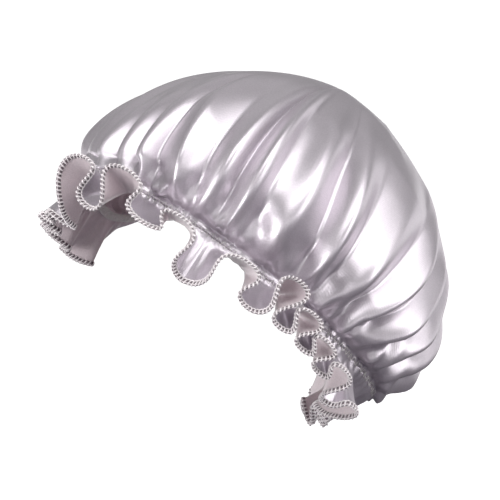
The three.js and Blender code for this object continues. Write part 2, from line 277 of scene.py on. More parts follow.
def angle(name, degrees, description):
    """An angle that a user may change, shown in degrees."""
    return FloatProperty(
        name=name, description=description, default=math.radians(degrees), subtype="ANGLE"
    )


def linear(hexadecimal):
    """Scene-linear red, green and blue of an sRGB colour that is written as six hexadecimal digits."""
    channels = [int(hexadecimal[place:place + 2], 16) / 255 for place in (0, 2, 4)]
    return tuple(
        channel / 12.92 if channel <= 0.04045 else ((channel + 0.055) / 1.055) ** 2.4
        for channel in channels
    )


def colour(name, hexadecimal, description):
    """A colour that a user may change."""
    return FloatVectorProperty(
        name=name, description=description, default=linear(hexadecimal),
        subtype="COLOR", size=3, min=0, max=1,
    )


class BonnetShape(bpy.types.PropertyGroup):
    """The bonnet's form as it is worn."""

    opening_length: length("Opening length", 248, "Inside the elastic, brow to nape")
    opening_width: length("Opening width", 162, "Inside the elastic, ear to ear")
    opening_tilt: angle("Opening tilt", 39, "How far the opening is turned with the brow up")
    side_lift: length("Side lift", 44, "How far one side of the opening is pulled up")
    lift_start: angle("Lift start", 182, "Where the lift starts, round from the brow")
    lift_full: angle("Lift full", 236, "Where the lift is full")
    lift_ease: angle("Lift ease", 270, "Where the lift gets less")
    lift_end: angle("Lift end", 308, "Where the lift ends")
    crown_height: length("Crown height", 150, "Top of the crown over the opening")
    crown_setback: length("Crown setback", 1, "Top of the crown behind the opening's middle")
    bulge: three_lengths("Bulge", (6, 24, 16), "How far the crown stands out past the elastic")
    puff: three_lengths("Puff", (12, 38, 22), "Height of the widest line over the elastic")
    crown_taper: FloatProperty(name="Crown taper", description="How fast the crown closes", default=1.15)
    flat_height: length("Flat height", 4.6, "How far up the crown lies flat on the elastic")
    fold_depth: length("Fold depth", 8, "How far in the deepest crease draws the cloth")
    puckers: IntProperty(name="Puckers", description="Small gathers on the elastic", default=84, min=8)
    pucker_height: length("Pucker height", 1.8, "How far a small gather stands out")
    ripple: length("Ripple", 1.6, "How far the cloth waves between the creases")
    droop: length("Droop", 4.5, "How far the cloth hangs over the elastic")
    frill_depth: length("Frill depth", 38, "From the gathers to the edge")
    frill_cut: length("Frill cut", 1350, "Flat strip that the frill is gathered from")
    flute_lean: length("Flute lean", 7, "How far a flute's edge leans along the elastic")


class BonnetSewing(bpy.types.PropertyGroup):
    """The cloth, the elastic and the threads."""

    satin: length("Satin", 0.3, "Thickness of the satin, a little heavier than it is")
    elastic_width: length("Elastic width", 6, "Width of the elastic")
    elastic_thickness: length("Elastic thickness", 1, "Thickness of the elastic")
    elastic_lap: length("Elastic lap", 17, "How far the elastic's ends lap at the nape")
    elastic_step: length("Elastic step", 12, "Length over which it steps in behind its lap")
    clearance: length("Clearance", 0.4, "Gap between pieces that lie on each other")
    stitch_width: length("Stitch width", 4, "Width of the zigzag")
    stitch_pitch: length("Stitch pitch", 4.3, "Length of one zig and zag")
    tack_pitch: length("Tack pitch", 3, "Length of one zig and zag on the lap")
    thread: length("Thread", 0.4, "Thickness of the zigzag's thread")
    overlock_width: length("Overlock width", 3.5, "Width of the overlocked edge")
    overlock_pitch: length("Overlock pitch", 2.7, "Length of one overlock stitch")
    overlock_thread: length("Overlock thread", 1.1, "Thickness of the overlock's thread")


class BonnetColours(bpy.types.PropertyGroup):
    """Colours of the cloth and the threads."""

    satin_right: colour("Satin, right side", "cec7ce", "Glossy silver-lavender face of the satin")
    satin_wrong: colour("Satin, wrong side", "e4d8dc", "Paler and less glossy back of the satin")
    edge_thread: colour("Edge thread", "fbf3f5", "Cream thread of the overlock")
    # Painted shade: the colour of a dark band under the overlock's loops, which stands in for the shade in their
    # gaps
    overlock_painted_shade: colour("Edge shade", "82767c", "Painted shade in the gaps of the overlock")
    white_thread: colour("White thread", "f4f2ef", "Thread of the zigzag and the tack")
    elastic: colour("Elastic", "f1efec", "Woven elastic")
    floor: colour("Floor", "f4f4f4", "Floor and wall of the studio")
    card: colour("Card", "78747c", "Card that the satin mirrors")


class BonnetStage(bpy.types.PropertyGroup):
    """The studio and the camera."""

    camera_azimuth: angle("Camera azimuth", 61, "Round from the brow to the near ear")
    camera_elevation: angle("Camera elevation", 5, "Height over the horizon")
    camera_distance: length("Camera distance", 1300, "From the middle of the opening")
    aim_right: length("Aim right", 13.2, "Picture's middle, right of the opening's middle")
    aim_up: length("Aim up", 24.8, "Picture's middle, over the opening's middle")
    lens: FloatProperty(name="Lens", description="Focal length in millimetres", default=144)
    floor_drop: length("Floor drop", 130, "Bonnet's lowest edge over the floor")
    floor_reach: length("Floor reach", 7000, "From the bonnet to the wall")
    wall_height: length("Wall height", 1500, "Height of the studio's wall")


def lerp(low, high, share):
    """What lies a share of the way from low to high."""
    return low + (high - low) * share


def ease(low, high, value):
    """0 up to low, 1 from high on, and smooth between them."""
    share = np.clip((value - low) / (high - low), 0, 1)
    return share * share * (3 - 2 * share)


def unit(vectors):
    """The same directions, each one unit long."""
    return vectors / np.maximum(np.linalg.norm(vectors, axis=-1, keepdims=True), TINY)


def blend_round(turned, brow, ears, nape):
    """A value that changes smoothly round the opening, from the brow past the ears to the nape."""
    run = np.cos(turned)
    return lerp(ears, lerp(brow, nape, 0.5 - 0.5 * run), run ** END_POWER)


def smooth_waves(random, count, places):
    """A smooth periodic wander of about unit size over shares of a turn."""
    waves = [
        random.normal() * np.sin(2 * np.pi * ((order + 1) * places + random.uniform()))
        for order in range(count)
    ]
    return sum(waves) / math.sqrt(count)


def turn_between(start, turn):
    """The shorter way round from one turn to another, from -0.5 to 0.5."""
    return (turn - start + 0.5) % 1 - 0.5


class Opening:
    """The elastic's line as it is worn, in the opening's own axes, by share of its length from the brow."""

    def __init__(self, shape):
        self.shape = shape
        self.angles = np.linspace(0, 2 * np.pi, OPENING_STEPS + 1)
        steps = np.linalg.norm(np.diff(self.point(self.angles), axis=0), axis=1)
        walked = np.concatenate(([0.0], np.cumsum(steps)))
        self.girth = walked[-1]
        self.shares = walked / self.girth

    def lift_share(self, turned):
        """1 where the opening is pulled up most and 0 away from it."""
        shape = self.shape
        rise = ease(shape.lift_start, shape.lift_full, turned)
        return rise * ease(shape.lift_end, shape.lift_ease, turned)

    def point(self, turned):
        """The point at an angle round from the brow."""
        x = self.shape.opening_width / 2 * np.sin(turned)
        y = -self.shape.opening_length / 2 * np.cos(turned)
        return np.stack((x, y, self.shape.side_lift * self.lift_share(turned)), -1)

    def at(self, turn):
        """Point, direction along, direction out and angle at a share of the way round."""
        turned = np.interp(np.mod(turn, 1.0), self.shares, self.angles)
        across = self.shape.opening_width * np.cos(turned)
        back = self.shape.opening_length * np.sin(turned)
        along = unit(np.stack((across, back, np.zeros_like(turned)), -1))
        return self.point(turned), along, np.cross(along, UP), turned

    def row(self, points):
        """Points of the opening's own axes in the row's axes."""
        tilt = self.shape.opening_tilt
        x, y, z = np.moveaxis(points, -1, 0)
        return np.stack(
            (x, y * math.cos(tilt) + z * math.sin(tilt), z * math.cos(tilt) - y * math.sin(tilt)), -1
        )


def pucker(shape, turn):
    """How far the small gathers stand out at the elastic: the crown and the frill share them."""
    random = np.random.default_rng(SEED)
    wander = PUCKER_WANDER * smooth_waves(random, PUCKER_WANDER_WAVES, turn)
    size = PUCKER_SIZE + PUCKER_SIZE_SPREAD * smooth_waves(random, PUCKER_SIZE_WAVES, turn)
    wave = 0.5 - 0.5 * np.cos(2 * np.pi * (shape.puckers * turn + wander))
    return shape.pucker_height * np.clip(size, *PUCKER_SIZE_LIMITS) * wave


# The crown

def crown_base(shape, opening, turn, latitude):
    """The crown before it is creased. Latitude goes from -90 degrees at the elastic to 90 at the top."""
    point, _, out, turned = opening.at(turn)
    bulge = blend_round(turned, *shape.bulge)
    puff = blend_round(turned, *shape.puff)
    widest = point + out * bulge[..., None] + UP * puff[..., None]
    rise = np.sin(latitude)
    run = np.maximum(np.cos(latitude), 0)
    low = lerp(point, widest, (run ** 2)[..., None])
    low[..., 2] = lerp(point[..., 2] + shape.flat_height, widest[..., 2], 1 + rise)
    close = run * (run ** 2 + TOP_ROUNDING ** 2) ** ((shape.crown_taper - 1) / 2)
    high = np.stack(
        (
            widest[..., 0] * close,
            lerp(shape.crown_setback, widest[..., 1], close),
            lerp(widest[..., 2], shape.crown_height, rise),
        ),
        -1,
    )
    return np.where((latitude < 0)[..., None], low, high)


def crown_folds(shape, heights):
    """Turns of the crown's columns, which follow the creases, and how far in the folds draw them."""
    foot, end, reach, share = np.array(CREASES).T
    along = np.minimum(heights[:, None] / reach, 1)
    lines = lerp(foot, end, along)
    grown = ease(0, WIDEST_SHARE / 2, heights)[:, None]
    depths = shape.fold_depth * share * grown * ease(1, FADE_SHARE, along)
    lines = np.column_stack((lines, lines[:, 0] + 1))
    depths = np.column_stack((depths, depths[:, 0]))
    sharpness = np.clip((np.abs(share) - ROUND_CREASE) / (SHARP_CREASE - ROUND_CREASE), 0, 1)
    slopes = SHARPEST_SLOPE * np.append(sharpness, sharpness[0])
    step = np.arange(STEPS_PER_CREASE) / STEPS_PER_CREASE
    swing = (
        step ** 2 * (3 - 2 * step)
        + slopes[:-1, None] * step * (1 - step) ** 2
        - slopes[1:, None] * step ** 2 * (1 - step)
    )
    turn = lerp(lines[:, :-1, None], lines[:, 1:, None], step)
    inward = lerp(depths[:, :-1, None], depths[:, 1:, None], swing)
    return turn.reshape(len(heights), -1), inward.reshape(len(heights), -1)


def sheet_normals(points):
    """Outward directions on rows of points that close round."""
    beside = np.roll(points, -1, axis=1) - np.roll(points, 1, axis=1)
    above = np.gradient(points, axis=0)
    return unit(np.cross(beside, above))


def fan(turn):
    """How far round a fold leans for each full height: towards the brow in front, towards the nape behind."""
    return np.interp(np.mod(turn, 1.0), *np.array(FAN).T)


def short_creases(random, turn, height, girth):
    """How far in the short creases draw the cloth: sharp along their lines, with two flanks each."""
    total = 0
    for place in range(SHORT_CREASES):
        foot = (place + random.uniform(-SHORT_JITTER, SHORT_JITTER)) / SHORT_CREASES
        reach = random.uniform(*SHORT_REACH)
        at_brow = ease(BROW_FAR, BROW_NEAR, abs(turn_between(0, foot)))
        depth = random.uniform(*SHORT_DEPTH) * (1 + BROW_DEEPENING * at_brow)
        before = random.uniform(*FLANK_BEFORE)
        after = random.uniform(*FLANK_AFTER)
        along = np.clip(height / reach, 0, 1)
        away = turn_between(foot + SHORT_LEAN * fan(foot) * along, turn) * girth
        flank = np.where(away < 0, before, after) * lerp(*FLANK_WIDENING, along)
        rounded = np.sqrt(away ** 2 + CREASE_ROUNDING ** 2) - CREASE_ROUNDING
        held = ease(0, SHORT_START, height) * ease(1, FADE_SHARE, along)
        total = total + depth * held * np.exp(-rounded / flank)
    return total


def fold_mark(mark, turn, height, girth, slant):
    """A faint straight ridge where the flat bonnet was folded."""
    start_turn, start_height, end_turn, end_height, depth = mark
    across = turn_between(start_turn, turn) * girth
    up = (height - start_height) * slant
    run = (end_turn - start_turn) * girth
    rise = (end_height - start_height) * slant
    share = np.clip((across * run + up * rise) / (run ** 2 + rise ** 2), 0, 1)
    away = np.hypot(across - share * run, up - share * rise)
    return depth * MM * np.exp(-away / FOLD_MARK_FLANK)


def ripples(random, turn, height):
    """The slow waves of slack cloth that run up between the creases, of about unit size."""
    leaned = turn - RIPPLE_LEAN * fan(turn) * height
    total = 0
    for _ in range(RIPPLES):
        across = random.integers(*RIPPLE_ROUND)
        up = random.uniform(*RIPPLE_UP)
        wave = np.sin(2 * np.pi * (across * leaned + up * height + random.uniform()))
        total = total + random.normal() * wave
    return total / math.sqrt(RIPPLES)


def crown_rows():
    """Heights and latitudes of the crown's rows, from the elastic upwards."""
    shares = np.arange(CROWN_ROWS) / CROWN_ROWS
    heights = lerp(shares ** 2, shares, ROW_EVENNESS)
    below = np.arcsin(np.clip(heights / WIDEST_SHARE - 1, -1, 0))
    above = (heights - WIDEST_SHARE) / (1 - WIDEST_SHARE) * np.pi / 2
    return heights, np.where(heights < WIDEST_SHARE, below, above)


def crown_points(shape, opening):
    """Rows of the crown from the elastic to its top, with their turns and the cloth's way to each from the
    elastic."""
    heights, latitudes = crown_rows()
    turn, inward = crown_folds(shape, heights)
    latitude, height = np.broadcast_arrays(latitudes[:, None], heights[:, None], turn)[:2]
    base = crown_base(shape, opening, turn, latitude)
    for _ in range(BASE_SMOOTHING):
        base[1:-1] = 0.25 * base[:-2] + 0.5 * base[1:-1] + 0.25 * base[2:]
    _, _, out, _ = opening.at(turn)
    draw = out * np.cos(latitude)[..., None] + UP * np.sin(latitude)[..., None]
    girth = np.linalg.norm(np.roll(base, -1, axis=1) - base, axis=-1).sum(axis=1, keepdims=True)
    steps = np.linalg.norm(np.diff(base, axis=0), axis=-1).mean(axis=1)
    risen = np.concatenate(([0.0], np.cumsum(steps)))
    walked = risen + shape.flat_height
    above = risen[:, None]
    random = np.random.default_rng(SEED)
    slack = ease(*RIPPLE_START, height) * ease(*RIPPLE_FADE, height)
    waves = shape.ripple * ripples(random, turn, height) * slack
    marks = sum(fold_mark(mark, turn, height, girth, walked[-1]) for mark in FOLD_MARKS)
    detail = waves + marks - short_creases(random, turn, height, girth)
    gathers = pucker(shape, turn) * (1 + ease(0, GATHER_REACH / 2, above)) * np.exp(-above / GATHER_REACH)
    lift = detail * ease(1, TOP_SMOOTH, height) + gathers
    puffed = base - draw * inward[..., None] + sheet_normals(base) * lift[..., None]
    lobes = DROOP_SIZE + DROOP_SIZE_SPREAD * smooth_waves(random, DROOP_WAVES, turn)
    drooped = ease(0, DROOP_MOST_AT, above) * ease(DROOP_REACH, DROOP_MOST_AT, above)
    hung = shape.droop * np.clip(lobes, *DROOP_SIZE_LIMITS) * drooped
    puffed = puffed + (DROOP_OUT * out - UP) * hung[..., None]
    point, _, out, _ = opening.at(turn[:1])
    flat = shape.flat_height * np.arange(FLAT_ROWS) / FLAT_ROWS
    strip = [point + UP * way + out * pucker(shape, turn[:1])[..., None] for way in flat]
    turns = np.concatenate((np.repeat(turn[:1], FLAT_ROWS, axis=0), turn))
    ways = np.concatenate((flat, walked))
    return np.concatenate((*strip, puffed)), turns, np.broadcast_to(ways[:, None], turns.shape)


# The frill

def frill_points(shape, opening):
    """Rows of the frill from its edge to the gathers, with the distance of each row from the gathers."""
    key_turns, key_angles = np.array(FLUTES).T
    starts = np.append(key_turns, key_turns[0] + 1)
    columns = len(key_turns) * STEPS_PER_FLUTE
    places = np.arange(columns) / STEPS_PER_FLUTE
    key = np.floor(places).astype(int)
    share = places - key
    turn = lerp(starts[key], starts[key + 1], share)
    angles = np.radians(np.append(key_angles, key_angles[0]))
    random = np.random.default_rng(SEED + 1)
    curls = np.radians(random.uniform(*FLUTE_CURL, len(key_turns)))
    curls = np.append(curls, curls[0])
    swing = 0.5 - 0.5 * np.cos(np.pi * share)
    tilt = lerp(angles[key], angles[key + 1], swing)
    curl = lerp(curls[key], curls[key + 1], swing)
    point, along, out, _ = opening.at(turn)
    gathers = pucker(shape, turn)
    pleats = pucker(shape, turn + PLEAT_SHIFT) / shape.pucker_height - 0.5
    lean = shape.flute_lean * np.sin(2 * np.pi * share) * np.maximum(np.sin(tilt), 0)
    depths = shape.frill_depth * np.linspace(0, 1, FRILL_ROWS) ** FRILL_ROW_POWER
    outward = np.zeros(columns)
    downward = np.full(columns, FRILL_GAP)
    rows = []
    for step, depth in zip(np.diff(depths, prepend=0), depths):
        share_down = depth / shape.frill_depth
        bent = tilt * ease(*FLUTE_BEND, depth) + curl * share_down ** 2
        outward = outward + np.sin(bent) * step
        downward = downward + np.cos(bent) * step
        pleated = ease(*PLEAT_START, depth) * lerp(1, PLEAT_LEFT, ease(*PLEAT_FADE, depth))
        swell = gathers * math.exp(-depth / GATHER_FADE) + PLEAT_HEIGHT * pleats * pleated
        aside = lean * share_down ** FLUTE_LEAN_POWER
        row = point + out * (outward + swell * np.cos(bent))[:, None]
        rows.append(row + UP * (swell * np.sin(bent) - downward)[:, None] + along * aside[:, None])
    return np.stack(rows[::-1]), depths[::-1]


# Meshes

def grid_faces(rows, columns):
    """Four-sided faces between rows that close round."""
    row, column = np.meshgrid(np.arange(rows - 1), np.arange(columns), indexing="ij")
    here = row * columns + column
    beside = row * columns + (column + 1) % columns
    return np.stack((here, beside, beside + columns, here + columns), -1).reshape(-1, 4).tolist()


def skin_faces(count, sides, closed):
    """Faces round a row of rings of corners. A row that doesn't close is capped at its ends."""
    faces = []
    for place in range(count if closed else count - 1):
        here = place * sides
        there = (place + 1) % count * sides
        for side in range(sides):
            after = (side + 1) % sides
            faces.append((here + side, there + side, there + after, here + after))
    if not closed:
        last = (count - 1) * sides
        faces.append(tuple(range(sides)))
        faces.append(tuple(last + side for side in reversed(range(sides))))
    return faces


def tube(points, facing, radius, closed):
    """Corners and faces of a thread along points. Facing points away from what the thread lies on."""
    if closed:
        ahead = unit(np.roll(points, -1, axis=0) - np.roll(points, 1, axis=0))
    else:
        ahead = unit(np.gradient(points, axis=0))
    facing = unit(facing - ahead * np.sum(facing * ahead, axis=1, keepdims=True))
    across = np.cross(ahead, facing)
    turns = (2 * np.pi * np.arange(THREAD_SIDES) / THREAD_SIDES)[None, :, None]
    corners = points[:, None] + radius * (facing[:, None] * np.cos(turns) - across[:, None] * np.sin(turns))
    return corners.reshape(-1, 3), skin_faces(len(points), THREAD_SIDES, closed)


def joined(parts):
    """One set of corners, faces and material places from several."""
    corners, faces, places = [], [], []
    start = 0
    for part_corners, part_faces, material in parts:
        corners.append(part_corners)
        faces.extend(tuple(corner + start for corner in face) for face in part_faces)
        places.extend([material] * len(part_faces))
        start += len(part_corners)
    return np.concatenate(corners), faces, places


def make_piece(name, corners, faces, materials, places=None):
    """A smooth mesh object at the origin, selected and active."""
    bpy.ops.object.select_all(action="DESELECT")
    mesh = bpy.data.meshes.new(name)
    mesh.from_pydata(np.asarray(corners).tolist(), [], faces)
    if mesh.validate():
        raise RuntimeError(f"{name} has faces that can't be")
    for material in materials:
        mesh.materials.append(material)
    if places is not None:
        mesh.polygons.foreach_set("material_index", places)
    piece = bpy.data.objects.new(name, mesh)
    bpy.context.collection.objects.link(piece)
    bpy.context.view_layer.objects.active = piece
    piece.select_set(True)
    bpy.ops.object.shade_smooth()
    return piece


def lay_flat(piece, places):
    """A UV map in metres on the cloth, from each corner's place on the flat cut."""
    layer = piece.data.uv_layers.new(name="Cloth")
    loops = np.empty(len(piece.data.loops), dtype=np.int32)
    piece.data.loops.foreach_get("vertex_index", loops)
    layer.data.foreach_set("uv", places[loops].astype(np.float32).ravel())


def thicken(piece, thickness):
    """Gives the cloth its wall, away from its right side. The wrong side takes the next material."""
    bpy.ops.object.modifier_add(type="SOLIDIFY")
    wall = piece.modifiers[-1]
    wall.thickness = thickness
    wall.offset = -1
    wall.material_offset = 1
    wall.material_offset_rim = 1
    bpy.ops.object.modifier_apply(modifier=wall.name)


def place_piece(piece, node):
    """Says what the piece moves with and hides the solid that it stands in for."""
    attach(piece, "root")
    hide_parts(node)


# Materials

def add_node(tree, kind, inputs=None, **settings):
    """A node with its settings. An input is a value, or another node's output that is linked to it."""
    node = tree.nodes.new(kind)
    for name, value in settings.items():
        setattr(node, name, value)
    for name, value in (inputs or {}).items():
        if isinstance(value, bpy.types.NodeSocket):
            tree.links.new(value, node.inputs[name])
        else:
            node.inputs[name].default_value = value
    return node


def start_material(name):
    """A material with no nodes yet, and its tree."""
    material = bpy.data.materials.new(name)
    material.use_nodes = True
    material.node_tree.nodes.clear()
    return material, material.node_tree


def finish_material(tree, shader):
    """Shows a shader on the material's surface."""
    add_node(tree, "ShaderNodeOutputMaterial", {"Surface": shader})


def tone(colours, share):
    """A colour that is lighter or darker than another."""
    return tuple(min(1.0, channel * share) for channel in colours) + (1.0,)


def noise(tree, place, scale, detail):
    """Blotches from 0 to 1 in the object's own space."""
    inputs = {"Vector": place.outputs["Object"], "Scale": scale, "Detail": detail}
    return add_node(tree, "ShaderNodeTexNoise", inputs).outputs["Fac"]


def two_tones(tree, factor, colours, dark, light):
    """A darker and a lighter tone of a colour, mixed by a factor."""
    inputs = {"Factor": factor, "A": tone(colours, dark), "B": tone(colours, light)}
    return add_node(tree, "ShaderNodeMix", inputs, data_type="RGBA").outputs["Result"]


def bump(tree, height, strength, distance):
    """Relief too fine for the mesh."""
    inputs = {"Height": height, "Strength": strength, "Distance": distance}
    return add_node(tree, "ShaderNodeBump", inputs).outputs["Normal"]


def finish_cloth(tree, inputs):
    """Shows a principled shader with these inputs."""
    finish_material(tree, add_node(tree, "ShaderNodeBsdfPrincipled", inputs).outputs["BSDF"])


def satin_material(name, colours, metallic, roughness, sheen):
    """Polyester satin: long floats of shiny yarn. The yarns are 0.1 mm, drawn here at about 1.4 mm so that they
    show as a faint grain across the gloss. Flecks and slow blotches keep the gloss from looking like plastic."""
    material, tree = start_material(name)
    place = add_node(tree, "ShaderNodeTexCoord")
    blotch = noise(tree, place, scale=38.0, detail=3.0)
    fleck = noise(tree, place, scale=1100.0, detail=1.0)
    yarn = add_node(
        tree, "ShaderNodeTexWave",
        {"Vector": place.outputs["UV"], "Scale": 230.0, "Distortion": 1.5, "Detail": 2.0, "Detail Scale": 0.6},
        bands_direction="X",
    )
    uneven = add_node(tree, "ShaderNodeMix", {"Factor": FLECK_SHARE, "A": blotch, "B": fleck})
    relief = add_node(tree, "ShaderNodeMath", {0: yarn.outputs["Fac"], 1: fleck}, operation="ADD")
    rough = add_node(
        tree, "ShaderNodeMapRange",
        {"Value": blotch, "To Min": roughness - GLOSS_SPREAD, "To Max": roughness + GLOSS_SPREAD},
    )
    finish_cloth(tree, {
        "Base Color": two_tones(tree, uneven.outputs["Result"], colours, dark=0.8, light=1.16),
        "Metallic": metallic,
        "Roughness": rough.outputs["Result"],
        "Sheen Weight": sheen,
        "Sheen Roughness": 0.4,
        "Normal": bump(tree, relief.outputs["Value"], strength=0.25, distance=0.1 * MM),
    })
    return material


def thread_material(name, colours):
    """Spun polyester thread: soft, with lighter and darker specks for its plies."""
    material, tree = start_material(name)
    place = add_node(tree, "ShaderNodeTexCoord")
    plies = noise(tree, place, scale=900.0, detail=2.0)
    finish_cloth(tree, {
        "Base Color": two_tones(tree, plies, colours, dark=0.82, light=1.06),
        "Roughness": 0.5,
        "Sheen Weight": 0.25,
        "Normal": bump(tree, plies, strength=0.4, distance=0.1 * MM),
    })
    return material


def elastic_material(name, colours):
    """Woven elastic: matt and white, with fine picks across the band. Its ribs are in the mesh."""
    material, tree = start_material(name)
    place = add_node(tree, "ShaderNodeTexCoord")
    picks = add_node(
        tree, "ShaderNodeTexWave", {"Vector": place.outputs["UV"], "Scale": 260.0, "Distortion": 0.6},
        bands_direction="X",
    ).outputs["Fac"]
    finish_cloth(tree, {
        "Base Color": two_tones(tree, picks, colours, dark=0.86, light=1.0),
        "Roughness": 0.8,
        "Sheen Weight": 0.15,
        "Normal": bump(tree, picks, strength=0.5, distance=0.15 * MM),
    })
    return material


# Each material's name, maker and colour, and its finish
MATERIALS = {
    "right": (
        "Satin right side", satin_material, "satin_right", {"metallic": 0.72, "roughness": 0.37, "sheen": 0.1}
    ),
    "wrong": (
        "Satin wrong side", satin_material, "satin_wrong", {"metallic": 0.1, "roughness": 0.38, "sheen": 0.35}
    ),
    "edge": ("Overlock thread", thread_material, "edge_thread", {}),
    # The overlock's dark band is painted shade, not a colour of the cloth
    "shade": ("Overlocked cloth edge", thread_material, "overlock_painted_shade", {}),
    "white": ("White sewing thread", thread_material, "white_thread", {}),
    "elastic": ("White woven elastic", elastic_material, "elastic", {}),
}


def material_for(key):
    """A material of the bonnet, made when it is first asked for."""
    name, make, setting, finish = MATERIALS[key]
    made = bpy.data.materials.get(name)
    return made or make(name, getattr(bpy.context.scene.bonnet_colours, setting), **finish)


# The elastic and the sewn threads

def elastic_profile(sewing):
    """Heights and bulges round the elastic's section: up its outer face, and back down its inner one."""
    across = np.linspace(-0.5, 0.5, ELASTIC_FACE_STEPS + 1)
    ribs = RIB_HEIGHT * np.cos(2 * np.pi * RIBS * across)
    edges = np.sqrt(np.clip(1 - (2 * np.abs(across)) ** EDGE_SQUARENESS, 0, 1))
    swell = edges * (sewing.elastic_thickness / 2 - RIB_HEIGHT + ribs)
    outer = list(zip(across * sewing.elastic_width, swell))
    return outer + [(height, -bulge) for height, bulge in outer[-2:0:-1]]


def zigzag_piece(name, node, opening, sewing, span, pitch, outward):
    """A zigzag thread from one turn to another, which closes if it goes all the way round. Outward gives how far
    out it lies at each turn."""
    start, end = span
    closed = end - start == 1
    count = round((end - start) * opening.girth / pitch) * ZIGZAG_STEPS
    turns = start + (end - start) * np.arange(count if closed else count + 1) / count
    point, _, out, _ = opening.at(turns)
    swing = 1 - 4 * np.abs(np.mod(np.arange(len(turns)) / ZIGZAG_STEPS, 1.0) - 0.5)
    height = sewing.stitch_width / 2 * np.sin(np.pi / 2 * swing)
    off = outward(turns)[:, None]
    middle = point + out * off + UP * height[:, None]
    corners, faces = tube(opening.row(middle), opening.row(out * np.sign(off)), sewing.thread / 2, closed)
    piece = make_piece(name, corners, faces, [material_for("white")])
    place_piece(piece, node)


def edge_line(rows, sewing):
    """The frill's edge walked in even steps of the overlock: points, the way in from the edge and the way out
    of its right side."""
    edge = rows[0]
    inner = edge + unit(rows[OVERLOCKED_ROWS] - edge) * sewing.overlock_width
    facing = sheet_normals(rows)[0]
    steps = np.linalg.norm(np.roll(edge, -1, axis=0) - edge, axis=1)
    walked = np.concatenate(([0.0], np.cumsum(steps)))
    count = round(walked[-1] / sewing.overlock_pitch) * COIL_STEPS
    places = np.arange(count) / count * walked[-1]

    def resampled(values):
        closed = np.concatenate((values, values[:1]))
        return np.stack([np.interp(places, walked, closed[:, axis]) for axis in range(3)], -1)

    return resampled(edge), unit(resampled(inner - edge)), unit(resampled(facing))


# The steps

def cloth_piece(name, node, corners, faces, places, thickness):
    """A piece of satin, with its places on the flat cut and its wall."""
    piece = make_piece(name, corners, faces, [material_for("right"), material_for("wrong")])
    lay_flat(piece, places)
    thicken(piece, thickness)
    place_piece(piece, node)
    return piece


def worn(context):
    """The shape, the sewing and the elastic's line that the user has set."""
    shape = context.scene.bonnet_shape
    return shape, context.scene.bonnet_sewing, Opening(shape)


class BONNET_OT_crown(bpy.types.Operator):
    """Builds the puffed crown with its creases and small gathers"""

    bl_idname = "bonnet.crown"
    bl_label = "Crown"
    bl_options = {"REGISTER", "UNDO"}

    def execute(self, context):
        shape, sewing, opening = worn(context)
        points, turn, walked = crown_points(shape, opening)
        points = points + sheet_normals(points) * sewing.satin
        top = np.array([[0.0, shape.crown_setback, shape.crown_height + sewing.satin]])
        corners = opening.row(np.concatenate((points.reshape(-1, 3), top)))
        rows, columns = turn.shape
        faces = grid_faces(rows, columns)
        last = (rows - 1) * columns
        faces += [
            (last + column, last + (column + 1) % columns, len(corners) - 1) for column in range(columns)
        ]
        radius = walked.max()
        flat = radius - walked
        places = np.stack((flat * np.sin(2 * np.pi * turn), -flat * np.cos(2 * np.pi * turn)), -1)
        places = np.concatenate((places.reshape(-1, 2), np.zeros((1, 2))))
        piece = cloth_piece("satin_crown", "crown_panel", corners, faces, places, sewing.satin)
        return {"FINISHED"}


class BONNET_OT_frill(bpy.types.Operator):
    """Builds the fluted frill"""

    bl_idname = "bonnet.frill"
    bl_label = "Frill"
    bl_options = {"REGISTER", "UNDO"}

    def execute(self, context):
        shape, sewing, opening = worn(context)
        rows, depths = frill_points(shape, opening)
        rows = opening.row(rows + sheet_normals(rows) * sewing.satin)
        faces = grid_faces(*rows.shape[:2])
        walked = np.cumsum(np.linalg.norm(np.roll(rows[0], -1, axis=0) - rows[0], axis=1))
        places = np.stack(np.broadcast_arrays(walked[None, :], depths[:, None]), -1)
        piece = cloth_piece(
            "satin_frill", "ruffle_frill", rows.reshape(-1, 3), faces, places.reshape(-1, 2), sewing.satin
        )
        return {"FINISHED"}


class BONNET_OT_overlock(bpy.types.Operator):
    """Wraps the frill's edge in overlock stitches"""

    bl_idname = "bonnet.overlock"
    bl_label = "Overlocked edge"
    bl_options = {"REGISTER", "UNDO"}

    def execute(self, context):
        shape, sewing, opening = worn(context)
        rows, _ = frill_points(shape, opening)
        edge, inward, facing = edge_line(opening.row(rows), sewing)
        radius = sewing.overlock_thread / 2
        reach = sewing.overlock_width / 2
        height = sewing.satin / 2 + radius + LOOP_GAP
        phase = 2 * np.pi * np.arange(len(edge)) / COIL_STEPS
        middle = edge + inward * (reach - radius) + facing * sewing.satin / 2
        off = inward * (-np.cos(phase) * reach)[:, None] + facing * (np.sin(phase) * height)[:, None]
        coil = tube(middle + off, off, radius, True)
        rim_line = edge + inward * RIM_INSET + facing * sewing.satin / 2
        rim = tube(rim_line, -inward, radius * RIM_RADIUS, True)
        # A dark band under the loops in the painted shade colour: painted shade in the gaps between the loops
        corner_lines = [
            middle + inward * (side * reach * BAND_WIDTH) + facing * (raised * height * BAND_HEIGHT)
            for side, raised in ((1, -1), (-1, -1), (-1, 1), (1, 1))
        ]
        band = np.stack(corner_lines, 1)[::BAND_STEP]
        band_faces = skin_faces(*band.shape[:2], True)
        corners, faces, places = joined(((*coil, 0), (*rim, 0), (band.reshape(-1, 3), band_faces, 1)))
        piece = make_piece(
            "overlock_loops", corners, faces, [material_for("edge"), material_for("shade")], places
        )
        place_piece(piece, "overlock_wrap")
        line = edge + inward * (sewing.overlock_width - radius * NEEDLE_INSET)
        dip = 0.5 + 0.5 * np.cos(phase)
        raised = sewing.satin + radius * (NEEDLE_LOW + NEEDLE_RISE * dip)
        corners, faces = tube(line + facing * raised[:, None], facing, radius * NEEDLE_RADIUS, True)
        piece = make_piece("overlock_needle_thread", corners, faces, [material_for("edge")])
        place_piece(piece, "overlock_needle")
        return {"FINISHED"}


